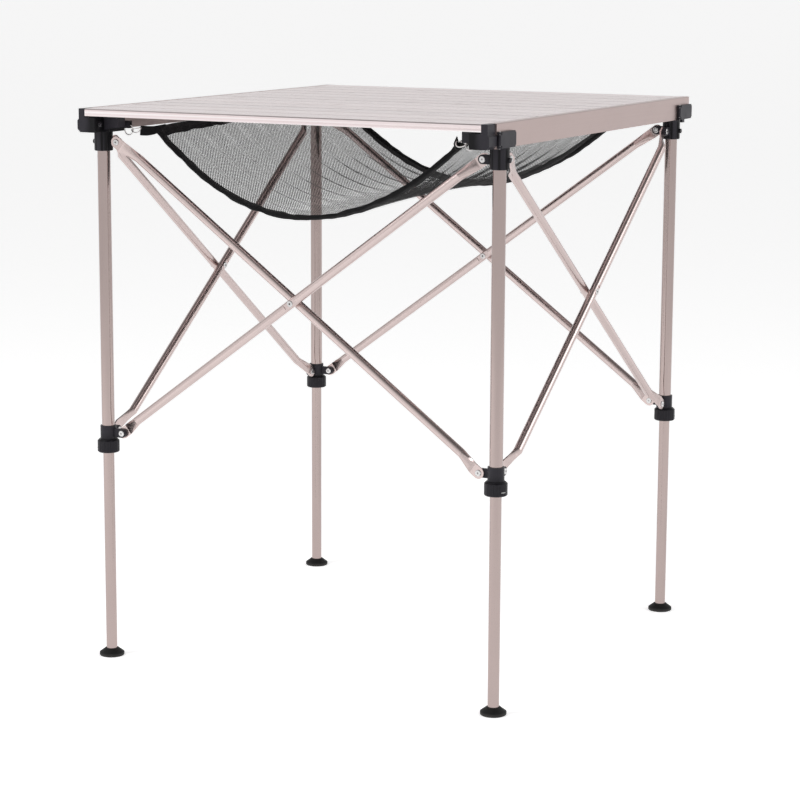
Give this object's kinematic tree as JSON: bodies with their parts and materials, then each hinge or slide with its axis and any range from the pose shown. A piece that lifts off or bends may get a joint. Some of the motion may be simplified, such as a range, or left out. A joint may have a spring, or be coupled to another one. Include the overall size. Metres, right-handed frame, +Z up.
{
  "type": "folding side table",
  "caption": "Camping side table with a slatted roll-top, four telescopic legs with twist locks, folding scissor braces on every side and a mesh storage sling under the top.",
  "frame": {"origin": "on the floor under the middle of the top", "axes": "+X along the slats, +Y along the side rails from front to back, +Z up"},
  "size_m": [0.5716, 0.63, 0.7],
  "materials": {
    "anodised_tube": "champagne anodised tube",
    "anodised_brace": "champagne anodised tube",
    "anodised_slat": "pale anodised slat",
    "anodised_rail": "champagne anodised rail",
    "black_nylon": "satin moulded nylon",
    "black_rubber": "dull rubber",
    "plated_steel": "bright plated",
    "elastic_cord": "braided elastic",
    "black_mesh": "open knitted mesh"
  },
  "bodies": {
    "upper_leg_front_left": {"upper_tube_front_left": "anodised_tube", "top_bracket_front_left": "black_nylon", "bracket_rivets_front_left": "plated_steel", "sling_ring_front_left": "plated_steel"},
    "hub_front_left": {"lower_hub_front_left": "black_nylon", "hub_rivets_front_left": "plated_steel"},
    "lower_leg_front_left": {"lower_tube_front_left": "anodised_tube", "foot_front_left": "black_rubber"},
    "twist_lock_front_left": {"lock_collar_front_left": "black_nylon"},
    "latch_front_left": {"rail_latch_front_left": "black_nylon"},
    "upper_leg_front_right": {"upper_tube_front_right": "anodised_tube", "top_bracket_front_right": "black_nylon", "bracket_rivets_front_right": "plated_steel", "sling_ring_front_right": "plated_steel"},
    "hub_front_right": {"lower_hub_front_right": "black_nylon", "hub_rivets_front_right": "plated_steel"},
    "lower_leg_front_right": {"lower_tube_front_right": "anodised_tube", "foot_front_right": "black_rubber"},
    "twist_lock_front_right": {"lock_collar_front_right": "black_nylon"},
    "latch_front_right": {"rail_latch_front_right": "black_nylon"},
    "upper_leg_back_right": {"upper_tube_back_right": "anodised_tube", "top_bracket_back_right": "black_nylon", "bracket_rivets_back_right": "plated_steel", "sling_ring_back_right": "plated_steel"},
    "hub_back_right": {"lower_hub_back_right": "black_nylon", "hub_rivets_back_right": "plated_steel"},
    "lower_leg_back_right": {"lower_tube_back_right": "anodised_tube", "foot_back_right": "black_rubber"},
    "twist_lock_back_right": {"lock_collar_back_right": "black_nylon"},
    "latch_back_right": {"rail_latch_back_right": "black_nylon"},
    "upper_leg_back_left": {"upper_tube_back_left": "anodised_tube", "top_bracket_back_left": "black_nylon", "bracket_rivets_back_left": "plated_steel", "sling_ring_back_left": "plated_steel"},
    "hub_back_left": {"lower_hub_back_left": "black_nylon", "hub_rivets_back_left": "plated_steel"},
    "lower_leg_back_left": {"lower_tube_back_left": "anodised_tube", "foot_back_left": "black_rubber"},
    "twist_lock_back_left": {"lock_collar_back_left": "black_nylon"},
    "latch_back_left": {"rail_latch_back_left": "black_nylon"},
    "scissor_front_rising_left": {"brace_front_rising_left": "anodised_brace", "crossing_rivet_front": "plated_steel"},
    "scissor_front_rising_right": {"brace_front_rising_right": "anodised_brace"},
    "scissor_right_rising_left": {"brace_right_rising_left": "anodised_brace"},
    "scissor_right_rising_right": {"brace_right_rising_right": "anodised_brace", "crossing_rivet_right": "plated_steel"},
    "scissor_back_rising_left": {"brace_back_rising_left": "anodised_brace"},
    "scissor_back_rising_right": {"brace_back_rising_right": "anodised_brace", "crossing_rivet_back": "plated_steel"},
    "scissor_left_rising_left": {"brace_left_rising_left": "anodised_brace", "crossing_rivet_left": "plated_steel"},
    "scissor_left_rising_right": {"brace_left_rising_right": "anodised_brace"},
    "tabletop": {"slats": "anodised_slat", "slat_cords": "elastic_cord", "side_rails": "anodised_rail", "rail_end_caps": "black_nylon", "end_cap_screws": "plated_steel", "latch_hinges": "black_nylon", "latch_pins": "plated_steel", "mesh_sling": "black_mesh"}
  },
  "joints": [
    {"name": "fold", "type": "hinge", "parent": "hub_front_right", "child": "scissor_front_rising_left", "pos_m": [0.249, -0.27, 0.291], "axis": [0, 1, 0], "range_deg": [0, 49]},
    {"name": "front_crossing", "type": "hinge", "parent": "scissor_front_rising_left", "child": "scissor_front_rising_right", "pos_m": [0, -0.27, 0.474], "axis": [0, -1, 0], "range_deg": [0, 98]},
    {"name": "front_top_left_pivot", "type": "hinge", "parent": "scissor_front_rising_left", "child": "upper_leg_front_left", "pos_m": [-0.249, -0.27, 0.657], "axis": [0, -1, 0], "range_deg": [0, 49]},
    {"name": "front_low_left_pivot", "type": "hinge", "parent": "scissor_front_rising_right", "child": "hub_front_left", "pos_m": [-0.249, -0.27, 0.291], "axis": [0, 1, 0], "range_deg": [0, 49]},
    {"name": "front_top_right_pivot", "type": "hinge", "parent": "scissor_front_rising_right", "child": "upper_leg_front_right", "pos_m": [0.249, -0.27, 0.657], "axis": [0, 1, 0], "range_deg": [0, 49]},
    {"name": "right_low_front_pivot", "type": "hinge", "parent": "hub_front_right", "child": "scissor_right_rising_right", "pos_m": [0.27, -0.249, 0.291], "axis": [1, 0, 0], "range_deg": [0, 49]},
    {"name": "right_crossing", "type": "hinge", "parent": "scissor_right_rising_right", "child": "scissor_right_rising_left", "pos_m": [0.27, 0, 0.474], "axis": [-1, 0, 0], "range_deg": [0, 98]},
    {"name": "right_top_back_pivot", "type": "hinge", "parent": "scissor_right_rising_right", "child": "upper_leg_back_right", "pos_m": [0.27, 0.249, 0.657], "axis": [-1, 0, 0], "range_deg": [0, 49]},
    {"name": "right_low_back_pivot", "type": "hinge", "parent": "scissor_right_rising_left", "child": "hub_back_right", "pos_m": [0.27, 0.249, 0.291], "axis": [1, 0, 0], "range_deg": [0, 49]},
    {"name": "left_low_front_pivot", "type": "hinge", "parent": "hub_front_left", "child": "scissor_left_rising_left", "pos_m": [-0.27, -0.249, 0.291], "axis": [1, 0, 0], "range_deg": [0, 49]},
    {"name": "left_crossing", "type": "hinge", "parent": "scissor_left_rising_left", "child": "scissor_left_rising_right", "pos_m": [-0.27, 0, 0.474], "axis": [-1, 0, 0], "range_deg": [0, 98]},
    {"name": "left_top_back_pivot", "type": "hinge", "parent": "scissor_left_rising_left", "child": "upper_leg_back_left", "pos_m": [-0.27, 0.249, 0.657], "axis": [-1, 0, 0], "range_deg": [0, 49]},
    {"name": "left_low_back_pivot", "type": "hinge", "parent": "scissor_left_rising_right", "child": "hub_back_left", "pos_m": [-0.27, 0.249, 0.291], "axis": [1, 0, 0], "range_deg": [0, 49]},
    {"name": "back_low_right_pivot", "type": "hinge", "parent": "hub_back_right", "child": "scissor_back_rising_right", "pos_m": [0.249, 0.27, 0.291], "axis": [0, 1, 0], "range_deg": [0, 49]},
    {"name": "back_crossing", "type": "hinge", "parent": "scissor_back_rising_right", "child": "scissor_back_rising_left", "pos_m": [0, 0.27, 0.474], "axis": [0, -1, 0], "range_deg": [0, 98]},
    {"name": "tabletop_lift", "type": "slide", "parent": "upper_leg_front_right", "child": "tabletop", "axis": [0, 0, 1], "range_m": [0, 0.3084]},
    {"name": "leg_length_front_left", "type": "slide", "parent": "hub_front_left", "child": "lower_leg_front_left", "axis": [0, 0, 1], "range_m": [0, 0.105]},
    {"name": "twist_lock_turn_front_left", "type": "hinge", "parent": "hub_front_left", "child": "twist_lock_front_left", "pos_m": [-0.27, -0.27, 0.274], "axis": [0, 0, 1], "range_deg": [0, 40]},
    {"name": "latch_swing_front_left", "type": "hinge", "parent": "tabletop", "child": "latch_front_left", "pos_m": [-0.2794, -0.291, 0.68], "axis": [0, 0, 1], "range_deg": [0, 100]},
    {"name": "leg_length_front_right", "type": "slide", "parent": "hub_front_right", "child": "lower_leg_front_right", "axis": [0, 0, 1], "range_m": [0, 0.105]},
    {"name": "twist_lock_turn_front_right", "type": "hinge", "parent": "hub_front_right", "child": "twist_lock_front_right", "pos_m": [0.27, -0.27, 0.274], "axis": [0, 0, 1], "range_deg": [0, 40]},
    {"name": "latch_swing_front_right", "type": "hinge", "parent": "tabletop", "child": "latch_front_right", "pos_m": [0.2794, -0.291, 0.68], "axis": [0, 0, -1], "range_deg": [0, 100]},
    {"name": "leg_length_back_right", "type": "slide", "parent": "hub_back_right", "child": "lower_leg_back_right", "axis": [0, 0, 1], "range_m": [0, 0.105]},
    {"name": "twist_lock_turn_back_right", "type": "hinge", "parent": "hub_back_right", "child": "twist_lock_back_right", "pos_m": [0.27, 0.27, 0.274], "axis": [0, 0, 1], "range_deg": [0, 40]},
    {"name": "latch_swing_back_right", "type": "hinge", "parent": "tabletop", "child": "latch_back_right", "pos_m": [0.2794, 0.274, 0.68], "axis": [0, 0, -1], "range_deg": [0, 100]},
    {"name": "leg_length_back_left", "type": "slide", "parent": "hub_back_left", "child": "lower_leg_back_left", "axis": [0, 0, 1], "range_m": [0, 0.105]},
    {"name": "twist_lock_turn_back_left", "type": "hinge", "parent": "hub_back_left", "child": "twist_lock_back_left", "pos_m": [-0.27, 0.27, 0.274], "axis": [0, 0, 1], "range_deg": [0, 40]},
    {"name": "latch_swing_back_left", "type": "hinge", "parent": "tabletop", "child": "latch_back_left", "pos_m": [-0.2794, 0.274, 0.68], "axis": [0, 0, 1], "range_deg": [0, 100]}
  ],
  "couplings": [
    {"joint": "front_crossing", "follows": "fold", "ratio": 2},
    {"joint": "front_top_left_pivot", "follows": "fold", "ratio": 1},
    {"joint": "front_low_left_pivot", "follows": "fold", "ratio": 1},
    {"joint": "front_top_right_pivot", "follows": "fold", "ratio": 1},
    {"joint": "right_low_front_pivot", "follows": "fold", "ratio": 1},
    {"joint": "right_crossing", "follows": "fold", "ratio": 2},
    {"joint": "right_top_back_pivot", "follows": "fold", "ratio": 1},
    {"joint": "right_low_back_pivot", "follows": "fold", "ratio": 1},
    {"joint": "left_low_front_pivot", "follows": "fold", "ratio": 1},
    {"joint": "left_crossing", "follows": "fold", "ratio": 2},
    {"joint": "left_top_back_pivot", "follows": "fold", "ratio": 1},
    {"joint": "left_low_back_pivot", "follows": "fold", "ratio": 1},
    {"joint": "back_low_right_pivot", "follows": "fold", "ratio": 1},
    {"joint": "back_crossing", "follows": "fold", "ratio": 2},
    {"joint": "tabletop_lift", "follows": "fold", "m_per_rad": 0.36}
  ]
}
